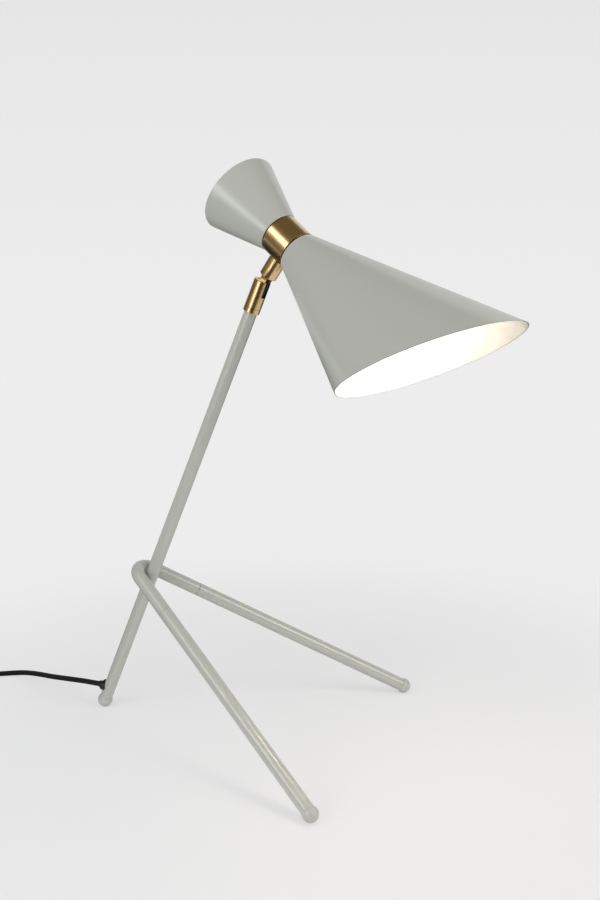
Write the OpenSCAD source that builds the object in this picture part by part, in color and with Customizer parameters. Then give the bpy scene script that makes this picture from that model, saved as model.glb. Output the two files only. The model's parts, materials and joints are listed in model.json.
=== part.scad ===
// Tripod table lamp: a leaning stem and a bent two-legged tube stand on three ball feet,
// and a swivelling, tilting knuckle carries a double-cone shade that is cut off on the slant.
// Millimetres. +X is the way the lamp leans, +Y its left, +Z up.
// The origin lies on the floor below the middle of the lamp.

/* [Stem] */
// Outer diameter of the stem tube
stem_d = 12; // [11:0.5:13]
// Wall of the stem tube
stem_wall = 1; // [0.8:0.1:1.2]
// Lean of the stem from upright, in degrees
stem_lean = 22.3; // [14:0.1:26]
// Length from the rear foot's centre to the top of the stem tube
stem_reach = 427.8; // [380:0.1:480]
// Diameter of the ball feet
foot_d = 14.6; // [14:0.1:18]
// Length of the spigots that hold the front feet and the knuckle in their tubes
spigot_len = 9; // [6:0.5:9.5]

/* [Legs] */
// Outer diameter of the leg tubes
leg_d = 12.7; // [12:0.1:13.2]
// Wall of the leg tubes
leg_wall = 1.2; // [1:0.1:1.6]
// Height, along the stem, at which the bent tube passes round it
cross_at = 147.2; // [120:0.1:175]
// Slope of the bent tube below level, in degrees
leg_slope = 32.5; // [28:0.1:38]
// Angle between each leg and the middle plane, in degrees
leg_spread = 25.4; // [23:0.1:28]
// Radius of the bend at the middle of the tube
bend_r = 16.5; // [15:0.1:19]
// Gap between the bend and the stem, filled by the spacer
bend_gap = 1.5; // [1.2:0.1:4]
// Straight tube beyond the bend, up to the joint with the leg
bend_tail = 47; // [40:0.5:70]
// Length of the stud inside each leg joint
stud_len = 36; // [24:1:50]
// Shank diameter of the screw that holds the bend to the stem
bend_screw_d = 4; // [3:0.5:4]
// Diameter of the screw's threaded bush in the stem
insert_d = 6.4; // [6:0.1:7]
// Diameter of the spacer between bend and stem
spacer_d = 7.2; // [6:0.1:8]

/* [Knuckle] */
// Diameter of the knuckle's base and fork
fork_d = 15.3; // [14:0.1:16.2]
// Height of the fixed base ring
base_h = 4.4; // [3:0.1:6]
// Height of the spindle that the fork turns on
spindle_h = 5.4; // [5:0.1:6]
// Diameter of the spindle
spindle_d = 9; // [8.6:0.1:9.4]
// Height of the tilt pivot above the base ring
pivot_rise = 16.3; // [15.8:0.1:18]
// Height of the fork above the pivot
fork_top = 9.5; // [8:0.1:10.5]
// Depth of the slot below the pivot
slot_depth = 4.8; // [4.7:0.1:5]
// Width of the slot
slot_w = 5.6; // [5.4:0.1:6]
// Thickness of the two friction washers
washer_t = 0.5; // [0.3:0.1:0.7]
// Diameter of the pivot screw
pivot_d = 3.2; // [2.8:0.1:3.4]
// Reach of the tongue behind the pivot
tongue_back = 4.4; // [4.2:0.05:4.5]
// Reach of the tongue in front of the pivot
tongue_front = 2.6; // [2.4:0.1:2.8]
// Distance from the pivot to the shoulder of the stub
shoulder = 15.2; // [13:0.1:17]
// Diameter of the stub
stub_d = 15.9; // [14:0.1:16.4]
// Distance from the pivot to the shade's axis
stub_reach = 51.2; // [48:0.1:58]
// Turn of the fork towards the lamp's right, in degrees
swivel = 18.3; // [-40:0.1:40]
// Forward tilt of the stub from the stem's line, in degrees
tilt = 13; // [0.5:0.1:30]

/* [Shade] */
// Outer diameter of the collar between the cones
collar_d = 37.4; // [35:0.1:41]
// Wall of the collar
collar_wall = 1.5; // [1.2:0.1:2]
// Length of the collar
collar_len = 26; // [24.5:0.1:32]
// Flange of each centring ring, seen as the dark line beside the collar
ring_t = 0.6; // [0.4:0.1:1.2]
// Sheet thickness of both cones
sheet = 0.9; // [0.7:0.1:1.2]
// Half angle of the front cone, in degrees
front_angle = 18.9; // [17.5:0.1:22]
// Distance from the collar's middle to the slanted mouth, on the axis
mouth_at = 166.8; // [150:0.1:190]
// Slant of the mouth, in degrees from square
mouth_slant = 28.8; // [0:0.1:31]
// Half angle of the rear cone, in degrees
rear_angle = 18; // [15:0.1:24]
// Diameter of the rear cone at its open end
rear_d = 75; // [66:0.1:86]

/* [Lampholder] */
// Diameter of the threaded tube that ties the shade together
tie_d = 10; // [9.6:0.1:10.4]
// Wall of the threaded tube
tie_wall = 1; // [0.8:0.1:1.2]
// Thickness of the locknut
nut_t = 3; // [2:0.1:4]
// Length of the holder's cap
cap_len = 19; // [17:0.5:24]
// Length of the holder's body
holder_len = 28; // [26:0.5:32]
// Outer diameter of the holder's body
holder_d = 39; // [35:0.5:41]
// Diameter of the bulb's screw cap
screw_cap_d = 26.2; // [25:0.1:26.6]
// Diameter of the bulb's globe
globe_d = 55; // [50:0.5:58]
// Length of the bulb with its screw cap
bulb_len = 98; // [92:0.5:104]

/* [Cord] */
// Diameter of the textile cord
cord_d = 5.2; // [4.8:0.1:5.6]
// Diameter of the inner lead
lead_d = 3.2; // [2.6:0.1:3.2]
// Height of the cord's exit above the rear foot's centre, along the stem
gland_at = 14; // [13.5:0.1:20]
// Diameter of the gland's flange
gland_d = 11; // [9.4:0.1:11.6]
// Turns of the coil in each of its two layers
layer_turns = 3.625; // [3.125:0.5:3.625]
// Middle radius of the coil's outermost turn
coil_r = 41.4; // [41.4:0.1:43]
// Gap between neighbouring turns and layers of the coil
turn_gap = 0.5; // [0.45:0.05:0.8]
// Thickness of the tie round the coil
tie_band = 0.8; // [0.5:0.1:1]

/* [Cord switch] */
// Length of the switch housing
switch_len = 60; // [56:0.5:60]
// Width of the switch housing
switch_w = 22; // [20:0.5:26]
// Height of the switch housing
switch_h = 15; // [14.5:0.5:17]
// Length of the rocker
rocker_len = 17; // [14:0.5:19]
// Width of the rocker
rocker_w = 9; // [7:0.5:11]
// Tilt of the rocker to each side, in degrees
rocker_tilt = 8; // [4:0.5:9]

/* [Plug] */
// Length of the plug's body
plug_len = 38; // [34:0.5:42]
// Width of the plug's face
plug_w = 33; // [30:0.5:36]
// Thickness of the plug
plug_h = 13.7; // [13:0.1:15]
// Diameter of the plug's pins
pin_d = 4; // [3.8:0.1:4.2]
// Length of the pins in front of the face
pin_len = 19; // [17:0.5:20]
// Distance between the pins
pin_pitch = 18.6; // [17:0.1:19.5]

/* [Fits] */
// Gap round a shaft that turns in its hole
run_gap = 0.05; // [0.03:0.01:0.1]
// Gap round a piece that is fixed in its seat
seat_gap = 0.05; // [0.02:0.01:0.1]
// Gap between pieces that move past each other
move_gap = 0.3; // [0.25:0.05:0.4]

/* [Hidden] */
$fn = 64;

paint = [0.70, 0.71, 0.68];
brass = [0.72, 0.56, 0.30];
steel = [0.72, 0.73, 0.74];
black = [0.06, 0.06, 0.06];
inner_black = [0.10, 0.10, 0.10];
lamp_white = [0.96, 0.95, 0.90];
big = 600;

// Turns of a vector about Y and about Z, in the sense of rotate()
function turn_y(v, a) = [v.x * cos(a) + v.z * sin(a), v.y, v.z * cos(a) - v.x * sin(a)];
function turn_z(v, a) = [v.x * cos(a) - v.y * sin(a), v.x * sin(a) + v.y * cos(a), v.z];

// Stem: measured from the rear foot's centre along the tube
foot_r = foot_d / 2;
stem_bore = stem_d - 2 * stem_wall;
leg_bore = leg_d - 2 * leg_wall;
function seat_of(tube_d) = sqrt(foot_r * foot_r - tube_d * tube_d / 4);
function on_stem(s) = [s * sin(stem_lean), 0, foot_r + s * cos(stem_lean)];

// Bent tube: its centre lines meet at a virtual apex behind the stem
slant_half = stem_d / 2 / cos(leg_slope - stem_lean);
apex_to_bend = bend_r / sin(leg_spread) - bend_r;
apex_back = slant_half + bend_gap + leg_d / 2 + apex_to_bend;
apex = on_stem(cross_at) - turn_y([apex_back, 0, 0], leg_slope);
bend_start = bend_r / tan(leg_spread);
joint_at = bend_start + bend_tail;
leg_len = (apex.z - foot_r) / (sin(leg_slope) * cos(leg_spread));

// Knuckle and head: the fork's frame has its origin at the pivot
pivot_at = stem_reach + base_h + pivot_rise;
tongue_t = slot_w - 2 * (washer_t + run_gap) - 2 * run_gap;
lead_bore = lead_d + 0.6;
lead_front = 4.5;
collar_r = collar_d / 2;
half_collar = collar_len / 2;
front_floor = half_collar + ring_t;
rear_floor = -half_collar - ring_t;
nut_r = 6.2;
nut_seat = sqrt(pow(collar_r - collar_wall, 2) - nut_r * nut_r) - 0.1;
spigot_r = 4;
tip_gap = 4;
bend_of_lead = 6;

function head_point(v) =
  on_stem(pivot_at)
  + turn_y(turn_z(turn_y(v + [0, 0, stub_reach], tilt), -swivel), stem_lean);
// A point of the slanted mouth's edge, at an angle round the shade's axis
mouth_apex = half_collar - collar_r / tan(front_angle);
function mouth_reach(q) =
  (mouth_at - mouth_apex) / (1 - tan(mouth_slant) * tan(front_angle) * sin(q));
function mouth_point(q) =
  let (t = mouth_reach(q), r = t * tan(front_angle))
  [mouth_apex + t, r * cos(q), r * sin(q)];
lamp_front = max([for (q = [0:3:357]) head_point(mouth_point(q)).x]);
origin_x = (lamp_front - foot_r) / 2;

// Placing: every module below draws in one of these frames
module lamp_frame() translate([-origin_x, 0, 0]) children();
module stem_frame(s) lamp_frame() translate(on_stem(s)) rotate([0, stem_lean, 0]) children();
module bend_frame() lamp_frame() translate(apex) rotate([0, leg_slope, 0]) children();
module leg_frame(side, t)
  bend_frame() rotate([0, 0, side * leg_spread]) rotate([0, 90, 0]) translate([0, 0, t]) children();
module fork_frame() stem_frame(pivot_at) rotate([0, 0, -swivel]) children();
module stub_frame() fork_frame() rotate([0, tilt, 0]) children();
// The shade's frame: X runs forward along the shade's axis, Z away from the knuckle
module shade_frame() stub_frame() translate([0, 0, stub_reach]) children();
module about_x() rotate([0, 90, 0]) children();

// Shapes that repeat
module tube(d, bore, h) {
  difference() {
    cylinder(d = d, h = h);
    translate([0, 0, -1]) cylinder(d = bore, h = h + 2);
  }
}

module round_rect(w, h, r) {
  square([w - 2 * r, h], center = true);
  square([w, h - 2 * r], center = true);
  for (x = [-1, 1])
    for (y = [-1, 1])
      translate([x * (w / 2 - r), y * (h / 2 - r)]) circle(r);
}

module ball_foot(tube_d, bore, spigot) {
  seat = seat_of(tube_d);
  difference() {
    sphere(d = foot_d);
    translate([-foot_d, -foot_d, seat]) cube(2 * foot_d);
  }
  translate([0, 0, seat - 0.5]) cylinder(d = bore - 2 * seat_gap, h = spigot + 0.5);
}

// Tube swept along points: each ring stands square to the path there
function unit(v) = v / norm(v);
function heading(p, i) =
  i == 0 ? unit(p[1] - p[0])
  : i == len(p) - 1 ? unit(p[i] - p[i - 1])
  : unit(unit(p[i + 1] - p[i]) + unit(p[i] - p[i - 1]));
function ring_points(p, i, r, n, up) =
  let (t = heading(p, i), a = unit(cross(up, t)), b = cross(t, a))
  [for (k = [0:n - 1]) p[i] + r * (cos(360 * k / n) * a + sin(360 * k / n) * b)];
module swept(p, d, n, up = [0, 0, 1]) {
  m = len(p);
  polyhedron(
    points = [for (i = [0:m - 1]) each ring_points(p, i, d / 2, n, up)],
    faces = concat(
      [[for (k = [0:n - 1]) k]],
      [for (i = [0:m - 2]) for (k = [0:n - 1])
        [i * n + k, (i + 1) * n + k, (i + 1) * n + (k + 1) % n]],
      [for (i = [0:m - 2]) for (k = [0:n - 1])
        [i * n + k, (i + 1) * n + (k + 1) % n, i * n + (k + 1) % n]],
      [[for (k = [0:n - 1]) m * n - 1 - k]]
    )
  );
}

// Arc of points in the XZ plane, about a centre
function arc_xz(c, r, a0, a1, n) =
  [for (i = [0:n]) let (a = a0 + (a1 - a0) * i / n) [c.x + r * cos(a), 0, c.z + r * sin(a)]];

// ---- Stand ----

module stem_tube() {
  color(paint) difference() {
    stem_frame(seat_of(stem_d)) tube(stem_d, stem_bore, stem_reach - seat_of(stem_d));
    stem_frame(gland_at) rotate([0, -90, 0]) cylinder(d = gland_barrel, h = stem_d);
    bend_frame() translate([apex_to_bend, 0, 0]) about_x()
      cylinder(d = insert_d, h = apex_back - apex_to_bend);
  }
}

// The rear foot's spigot stops short of the cord gland
module rear_foot() {
  spigot = gland_at - gland_barrel / 2 - move_gap - seat_of(stem_d);
  color(paint) stem_frame(0) ball_foot(stem_d, stem_bore, spigot);
}

module leg_foot(side) {
  color(paint) leg_frame(side, leg_len) rotate([180, 0, 0])
    ball_foot(leg_d, leg_bore, spigot_len);
}

module left_foot() leg_foot(1);
module right_foot() leg_foot(-1);

module bend_body(d, bore = 0) {
  translate([bend_r / sin(leg_spread), 0, 0]) rotate([0, 0, 90 + leg_spread])
    rotate_extrude(angle = 180 - 2 * leg_spread) translate([bend_r, 0]) difference() {
      circle(d = d);
      circle(d = bore);
    }
}

// Bending draws the tube in by a hair, outside and in its bore
bend_draw = 0.04;

module bend_tube() {
  color(paint) difference() {
    union() {
      bend_frame() bend_body(leg_d - bend_draw, leg_bore + bend_draw);
      for (side = [-1, 1])
        leg_frame(side, bend_start) tube(leg_d, leg_bore, bend_tail);
    }
    bend_frame() about_x() cylinder(d = bend_screw_d + 2 * seat_gap, h = apex_back);
    bend_frame() about_x() cylinder(d = access_d, h = apex_to_bend);
  }
}

module leg_tube(side) {
  color(paint) leg_frame(side, joint_at)
    tube(leg_d, leg_bore, leg_len - joint_at - seat_of(leg_d));
}

module left_leg_tube() leg_tube(1);
module right_leg_tube() leg_tube(-1);

module leg_studs() {
  color(steel)
    for (side = [-1, 1])
      leg_frame(side, joint_at - stud_len / 2)
        cylinder(d = leg_bore - 2 * seat_gap, h = stud_len);
}

// One screw holds the bend, square to it. The screw goes in through a hole in the
// bend's rear, which a painted plug closes, and its head pulls on the front wall.
bend_front = apex_to_bend + leg_d / 2;
access_d = 7.2;
inner_front = apex_to_bend + leg_bore / 2;
saddle_rise = 1.8;
saddle_back = inner_front - saddle_rise;
insert_len = 5;
insert_end = apex_back - slant_half + insert_len;

module bend_screw() {
  head_d = 6.4;
  head_h = 2.2;
  color(steel) bend_frame() difference() {
    union() {
      translate([saddle_back, 0, 0]) about_x()
        cylinder(d = bend_screw_d, h = insert_end - saddle_back);
      translate([saddle_back - head_h, 0, 0]) about_x() cylinder(d = head_d, h = head_h);
    }
    translate([saddle_back - head_h - 1, 0, 0]) about_x() cylinder(d = 3, h = 2.2, $fn = 6);
  }
}

module saddle_washer() {
  color(steel) bend_frame() intersection() {
    translate([saddle_back, 0, 0]) about_x()
      tube(access_d - 0.6, bend_screw_d + 2 * seat_gap, saddle_rise + 1);
    bend_body(leg_bore - 2 * seat_gap);
  }
}

module bend_plug() {
  proud = 0.25;
  color(paint) bend_frame() intersection() {
    about_x() cylinder(d = access_d - 2 * seat_gap, h = apex_to_bend - leg_bore / 2 + 1.5);
    bend_body(leg_d + 2 * proud);
  }
}

module bend_spacer() {
  color(paint) difference() {
    bend_frame() translate([bend_front - 2, 0, 0]) about_x()
      tube(spacer_d, bend_screw_d + 2 * seat_gap, bend_gap + 4);
    bend_frame() bend_body(leg_d + 2 * seat_gap);
    stem_frame(0) cylinder(d = stem_d + 2 * seat_gap, h = stem_reach);
  }
}

module stem_insert() {
  color(steel) intersection() {
    bend_frame() translate([bend_front, 0, 0]) about_x()
      tube(insert_d - 2 * seat_gap, bend_screw_d + 2 * seat_gap, insert_end - bend_front);
    stem_frame(0) cylinder(d = stem_d, h = stem_reach);
  }
}

// ---- Cord gland and inner leads ----

gland_barrel = cord_d + 2.6;
gland_flange = 2.2;
neck_d = cord_d + 1.8;
neck_len = 4;
neck_root = stem_d / 2 + 1.2;
gland_exit = on_stem(gland_at) + neck_root * [-cos(stem_lean), 0, sin(stem_lean)] - [neck_len, 0, 0];
barrel_in = stem_d / 2 - stem_wall - 0.8;

// Axis of the neck: level, from an elbow just outside the flange
module neck_frame()
  stem_frame(gland_at) translate([-neck_root, 0, 0]) rotate([0, -90 - stem_lean, 0]) children();

module cord_gland() {
  elbow_d = neck_d + 0.8;
  color(black) difference() {
    union() {
      difference() {
        stem_frame(gland_at) rotate([0, -90, 0]) cylinder(d = gland_d, h = stem_d / 2 + gland_flange);
        stem_frame(0) cylinder(d = stem_d + 2 * seat_gap, h = stem_reach);
      }
      stem_frame(gland_at) translate([-barrel_in, 0, 0]) rotate([0, -90, 0])
        cylinder(d = gland_barrel - 2 * seat_gap, h = stem_d / 2 + gland_flange - barrel_in - 0.5);
      neck_frame() sphere(d = elbow_d);
      neck_frame() cylinder(d = neck_d, h = neck_len);
    }
    stem_frame(gland_at) rotate([0, -90, 0]) cylinder(d = lead_bore, h = neck_root);
    neck_frame() sphere(d = lead_bore + 0.8);
    neck_frame() cylinder(d = lead_bore, h = neck_len - 1);
  }
}

// The lead rises in front of the screw's bush and ends on the spindle's axis
lead_side = stem_bore / 2 - lead_d / 2 - 0.4;
lead_turn = 5;
stem_lead_path = concat(
  [[-barrel_in, 0, gland_at]],
  arc_xz([lead_side - lead_turn, 0, gland_at + lead_turn], lead_turn, -90, 0, 4),
  [[lead_side, 0, cross_at], [lead_side, 0, stem_reach - spigot_len - 16]],
  [[0, 0, stem_reach - spigot_len - 2], [0, 0, stem_reach + base_h + spindle_h - 0.5]]
);

module stem_lead() {
  color(inner_black) lamp_frame() translate([0, 0, foot_r]) rotate([0, stem_lean, 0])
    swept(stem_lead_path, lead_d, 8, [0, 1, 0]);
}

// ---- Knuckle ----

base_top = -pivot_rise;
fork_bottom = base_top + move_gap;
spindle_top = base_top + spindle_h;
groove_mid = base_top + spindle_h / 2;
swivel_screw_d = 2.4;
groove_d = spindle_d - 2.2;
stop_angle = 20;

module knuckle_base() {
  color(brass) stem_frame(pivot_at) difference() {
    union() {
      translate([0, 0, base_top - base_h]) cylinder(d = fork_d, h = base_h);
      translate([0, 0, base_top - base_h - spigot_len])
        cylinder(d = stem_bore - 2 * seat_gap, h = spigot_len + 1);
      translate([0, 0, base_top - 1]) cylinder(d = spindle_d, h = spindle_h + 1);
    }
    translate([0, 0, base_top - base_h - spigot_len - 1])
      cylinder(d = lead_bore + 0.8, h = spigot_len + base_h + spindle_h + 2);
    // Groove for the swivel screw, with a stop at the lamp's front
    rotate([0, 0, stop_angle / 2]) rotate_extrude(angle = 360 - stop_angle)
      translate([groove_d / 2, groove_mid - swivel_screw_d / 2 - 0.2])
        square([spindle_d, swivel_screw_d + 0.4]);
  }
}

module knuckle_fork() {
  rim = 0.6;
  color(brass) fork_frame() difference() {
    union() {
      translate([0, 0, fork_bottom]) cylinder(d = fork_d, h = fork_top - rim - fork_bottom);
      translate([0, 0, fork_top - rim]) cylinder(d1 = fork_d, d2 = fork_d - 2 * rim, h = rim);
    }
    // Bearing for the spindle
    translate([0, 0, fork_bottom - 1])
      cylinder(d = spindle_d + 2 * run_gap, h = spindle_top - fork_bottom + 1 + move_gap);
    // Slanted hole that brings the lead to the front of the slot
    translate([0, 0, spindle_top]) rotate([0, fork_hole_lean, 0])
      translate([0, 0, -1]) cylinder(d = lead_bore, h = fork_hole_len + 2);
    // Slot, open to the front and closed behind
    translate([-tongue_back - 0.15, -slot_w / 2, -slot_depth])
      cube([fork_d, slot_w, fork_top + slot_depth + 1]);
    // Pivot screw: clearance, head and blind thread
    rotate([-90, 0, 0]) {
      cylinder(d = pivot_d + 2 * seat_gap, h = fork_d);
      translate([0, 0, screw_seat]) cylinder(d = screw_head_d + 2 * seat_gap, h = fork_d);
      translate([0, 0, -thread_end - 0.2]) cylinder(d = pivot_d + 2 * seat_gap, h = thread_end + 1);
    }
    // Swivel screw
    translate([0, 0, groove_mid]) rotate([0, -90, 0])
      cylinder(d = swivel_screw_d + 2 * seat_gap, h = fork_d);
  }
}

screw_head_d = 6;
screw_seat = fork_d / 2 - 2.2;
screw_head_h = 1.6;
thread_end = fork_d / 2 - 1.6;
fork_hole_lean = atan2(lead_front + 0.4, -slot_depth - spindle_top);
fork_hole_len = norm([lead_front + 0.4, -slot_depth - spindle_top]);

module pivot_screw() {
  color(brass) fork_frame() rotate([-90, 0, 0]) difference() {
    union() {
      translate([0, 0, -thread_end]) cylinder(d = pivot_d, h = thread_end + screw_seat + 0.5);
      translate([0, 0, screw_seat]) cylinder(d = screw_head_d, h = screw_head_h);
    }
    translate([-screw_head_d, -0.4, screw_seat + screw_head_h - 0.8])
      cube([2 * screw_head_d, 0.8, 2]);
  }
}

module pivot_washers() {
  color(inner_black) fork_frame()
    for (side = [-1, 1])
      translate([0, side * (slot_w - washer_t - run_gap) / 2, 0]) rotate([90, 0, 0])
        translate([0, 0, -washer_t / 2]) tube(8, pivot_d + 2 * seat_gap, washer_t);
}

module swivel_screw() {
  reach = fork_d / 2 - 0.4;
  tip = groove_d / 2 + 0.2;
  color(steel) fork_frame() translate([0, 0, groove_mid]) rotate([0, -90, 0]) difference() {
    translate([0, 0, tip]) cylinder(d = swivel_screw_d, h = reach - tip);
    translate([0, 0, reach - 1]) cylinder(d = 1.3, h = 2, $fn = 6);
  }
}

fork_lead_path = [
  [0, 0, spindle_top + 0.6],
  [0.5 * lead_front, 0, 0.5 * (spindle_top - slot_depth)],
  [lead_front + 0.4, 0, -slot_depth],
  [lead_front + 0.5, 0, -1.8]
];

module fork_lead() {
  color(inner_black) fork_frame() swept(fork_lead_path, lead_d, 8, [0, 1, 0]);
}

// The tongue is set back from the stub's middle, so that the lead passes in front of it
stub_cross = 11;

module knuckle_stub() {
  rim = 0.8;
  tongue_mid = (tongue_front - tongue_back) / 2;
  tongue_w = tongue_front + tongue_back;
  color(brass) stub_frame() difference() {
    union() {
      translate([0, tongue_t / 2, 0]) rotate([90, 0, 0]) linear_extrude(tongue_t) {
        translate([tongue_mid, 0]) circle(d = tongue_w);
        translate([-tongue_back, 0]) square([tongue_w, shoulder + 1]);
      }
      difference() {
        union() {
          translate([0, 0, shoulder]) cylinder(d1 = stub_d - 2 * rim, d2 = stub_d, h = rim);
          translate([0, 0, shoulder + rim]) cylinder(d = stub_d, h = stub_reach - shoulder - rim);
        }
        translate([0, 0, stub_reach]) about_x()
          cylinder(d = collar_d + 2 * seat_gap, h = 3 * stub_d, center = true);
      }
      translate([0, 0, shoulder + 4])
        cylinder(r = spigot_r, h = stub_reach - tie_d / 2 - tip_gap - shoulder - 4);
    }
    rotate([-90, 0, 0]) cylinder(d = pivot_d + 2 * run_gap, h = 2 * fork_d, center = true);
    // Lead: a slanted hole from the shoulder's front to the spigot's axis
    translate([0, 0, shoulder + stub_cross - 1]) cylinder(d = lead_bore + 0.6, h = stub_reach);
    translate([lead_front, 0, shoulder]) rotate([0, -atan2(lead_front, stub_cross), 0])
      translate([0, 0, -4]) cylinder(d = lead_bore, h = 4 + norm([lead_front, stub_cross]));
  }
}

module stub_nut() {
  color(brass) stub_frame() translate([0, 0, stub_reach - nut_seat])
    difference() {
      cylinder(r = nut_r, h = 2.6, $fn = 6);
      translate([0, 0, -1]) cylinder(r = spigot_r + seat_gap, h = 5);
    }
}

// ---- Shade ----

module collar() {
  color(brass) shade_frame() difference() {
    translate([-half_collar, 0, 0]) about_x()
      tube(collar_d, collar_d - 2 * collar_wall, collar_len);
    translate([0, 0, -collar_r - 1]) cylinder(r = spigot_r + seat_gap, h = collar_r);
  }
}

ring_in = 2;

module centring_ring(side) {
  color(black) shade_frame() rotate([0, side * 90, 0]) translate([0, 0, half_collar]) difference() {
    union() {
      cylinder(d = collar_d - 1.2, h = ring_t);
      translate([0, 0, -ring_in])
        cylinder(d = collar_d - 2 * collar_wall - 2 * seat_gap, h = ring_in + ring_t);
    }
    translate([0, 0, -ring_in - 1]) cylinder(d = tie_d + 2 * seat_gap, h = ring_in + ring_t + 2);
  }
}

module front_ring() centring_ring(1);
module rear_ring() centring_ring(-1);

// A spun cone with a floor: outer radius r0 at the floor, a half angle and a length
module spun_cone(r0, angle, length) {
  wide = r0 + length * tan(angle);
  skin = sheet / cos(angle);
  edge = 0.8;
  rotate_extrude() polygon([
    [tie_d / 2 + seat_gap, 0],
    [r0 - edge, 0],
    [r0 + edge * tan(angle), edge],
    [wide, length],
    [wide - skin, length],
    [r0 - skin + sheet * tan(angle), sheet],
    [tie_d / 2 + seat_gap, sheet]
  ]);
}

module front_cone() {
  length = mouth_reach(90) + mouth_apex - front_floor + 5;
  r0 = collar_r + ring_t * tan(front_angle);
  color(paint) shade_frame() difference() {
    translate([front_floor, 0, 0]) about_x() spun_cone(r0, front_angle, length);
    translate([mouth_at, 0, 0]) rotate([0, mouth_slant, 0])
      translate([0, -big / 2, -big / 2]) cube(big);
  }
}

module rear_cone() {
  r0 = collar_r + ring_t * tan(rear_angle);
  length = (rear_d / 2 - r0) / tan(rear_angle);
  color(paint) shade_frame() translate([rear_floor, 0, 0]) rotate([0, -90, 0])
    spun_cone(r0, rear_angle, length);
}

// Threaded tube through the collar, with a window below for the lead
tie_rear = rear_floor - sheet - 7;
tie_front = front_floor + sheet + nut_t + 7;

module tie_tube() {
  color(steel) shade_frame() difference() {
    translate([tie_rear, 0, 0]) about_x() tube(tie_d, tie_d - 2 * tie_wall, tie_front - tie_rear);
    translate([-lead_d / 2 - 1, -lead_d / 2 - 0.5, -tie_d])
      cube([bend_of_lead + lead_d / 2 + 2.5, lead_d + 1, tie_d - 1]);
  }
}

module front_nut() {
  color(steel) shade_frame() translate([front_floor + sheet, 0, 0]) about_x() difference() {
    cylinder(d = tie_d + 6, h = nut_t, $fn = 6);
    translate([0, 0, -1]) cylinder(d = tie_d + 2 * seat_gap, h = nut_t + 2);
  }
}

module rear_nut() {
  base_d = tie_d + 10;
  dome_d = tie_d + 4;
  dome_h = 4;
  body_h = 8;
  color(brass) shade_frame() translate([rear_floor - sheet, 0, 0]) rotate([0, -90, 0]) difference() {
    union() {
      cylinder(d = base_d, h = 2);
      cylinder(d = dome_d, h = body_h);
      translate([0, 0, body_h]) cylinder(d1 = dome_d, d2 = dome_d - 5, h = dome_h - 1);
    }
    translate([0, 0, -1]) cylinder(d = tie_d + 2 * seat_gap, h = body_h + 0.5);
  }
}

// ---- Lampholder and bulb ----

cap_start = front_floor + sheet + nut_t;
holder_start = cap_start + cap_len;
holder_end = holder_start + holder_len;
holder_wall = 2.2;
thread_wall = 0.4;
base_start = holder_start + 5;
base_end = base_start + 23;
thread_d = screw_cap_d + 2 * move_gap;

module holder_cap() {
  color(black) shade_frame() translate([cap_start, 0, 0]) about_x() rotate_extrude() polygon([
    [tie_d / 2 + seat_gap, 0],
    [tie_d / 2 + 5, 0],
    [tie_d / 2 + 6, 1],
    [tie_d / 2 + 6, 5],
    [holder_d / 2 - 2, 11],
    [holder_d / 2, 13],
    [holder_d / 2, cap_len],
    [holder_d / 2 - holder_wall, cap_len],
    [holder_d / 2 - holder_wall, 13],
    [tie_d / 2 + 4, 7.5],
    [tie_d / 2 + seat_gap, 7.5]
  ]);
}

module holder_body() {
  floor_t = 3;
  color(black) shade_frame() translate([holder_start, 0, 0]) about_x() rotate_extrude() polygon([
    [3.2, 0],
    [holder_d / 2, 0],
    [holder_d / 2, 4],
    [holder_d / 2 - 0.8, 5],
    [holder_d / 2 - 0.8, holder_len - 1],
    [holder_d / 2 - 1.8, holder_len],
    [thread_d / 2 + thread_wall + seat_gap, holder_len],
    [thread_d / 2 + thread_wall + seat_gap, floor_t],
    [3.2, floor_t]
  ]);
}

module holder_thread() {
  color(brass) shade_frame() translate([holder_start + 3, 0, 0]) about_x()
    tube(thread_d + 2 * thread_wall, thread_d, holder_len - 4.5);
}

module holder_contact() {
  color(brass) shade_frame() translate([holder_start, 0, 0]) about_x() {
    translate([0, 0, 1]) cylinder(d = 6.2, h = 2);
    translate([0, 0, 3]) cylinder(d1 = 6.2, d2 = 4, h = 1.7);
  }
}

module bulb_base() {
  color(steel) shade_frame() translate([base_start, 0, 0]) about_x() {
    cylinder(d = 9, h = 1.5);
    translate([0, 0, 1]) cylinder(d1 = 12, d2 = screw_cap_d - 1, h = 4);
    translate([0, 0, 5]) cylinder(d = screw_cap_d, h = base_end - base_start - 5);
  }
}

// Half outline of the bulb: a neck that runs into the globe
module globe_outline(grow) {
  r = globe_d / 2 + grow;
  mid = base_start + bulb_len - globe_d / 2;
  neck_end = mid - 0.26 * globe_d;
  neck_r = sqrt(r * r - pow(mid - neck_end, 2));
  translate([0, mid]) circle(r);
  polygon([
    [0, base_end],
    [screw_cap_d / 2 + 0.6 + grow, base_end],
    [neck_r, neck_end],
    [0, neck_end]
  ]);
}

module bulb_globe() {
  glass = 1;
  color(lamp_white) shade_frame() about_x() rotate_extrude() difference() {
    intersection() {
      globe_outline(0);
      square(big);
    }
    globe_outline(-glass);
  }
}

// From the stub's shoulder, up the spigot, round into the threaded tube and to the holder
head_lead_path = concat(
  [[lead_front, 0, 7.2], [lead_front, 0, shoulder - 0.5]],
  [[0, 0, shoulder + stub_cross + 0.5], [0, 0, stub_reach - bend_of_lead - 1]],
  arc_xz([bend_of_lead, 0, stub_reach - bend_of_lead], bend_of_lead, 180, 90, 4),
  [[holder_start - 4, 0, stub_reach]]
);

module head_lead() {
  color(inner_black) stub_frame() swept(head_lead_path, lead_d, 8, [0, 1, 0]);
}

// ---- Mains cord: its points lie in the lamp's own frame ----

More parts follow.
